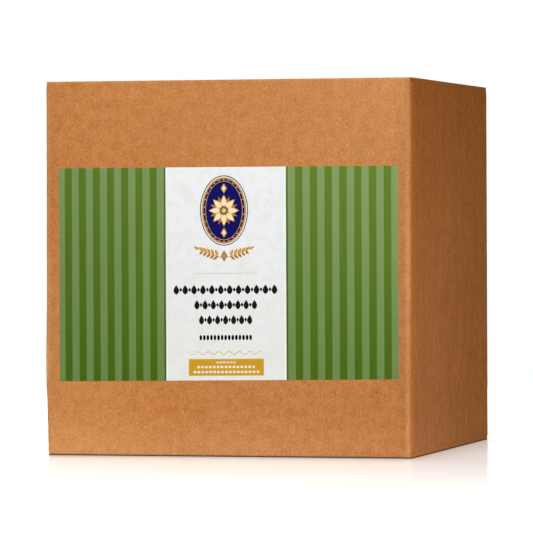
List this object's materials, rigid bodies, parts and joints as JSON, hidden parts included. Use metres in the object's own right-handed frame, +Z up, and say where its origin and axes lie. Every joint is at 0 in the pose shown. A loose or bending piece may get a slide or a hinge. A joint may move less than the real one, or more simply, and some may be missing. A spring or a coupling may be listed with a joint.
{
  "type": "corrugated shipping carton",
  "caption": "Shut corrugated board case with flaps glued down, and a wide striped paper label on its front face.",
  "frame": {"origin": "centre of the underside, on the surface that the case stands on", "axes": "+Z up, +X to the right when facing the label, +Y from the labelled front to the rear"},
  "size_m": [0.3156, 0.3157, 0.316],
  "materials": {
    "kraft_board": "matt brown kraft liner with fine fibres, rounded worn scores and cut ends that show the flutes",
    "label_paper": "smooth coated paper, printed with two greens in stripes and a white middle panel with a plain emblem"
  },
  "bodies": {
    "root": {"carton": "kraft_board", "label": "label_paper"}
  },
  "joints": []
}
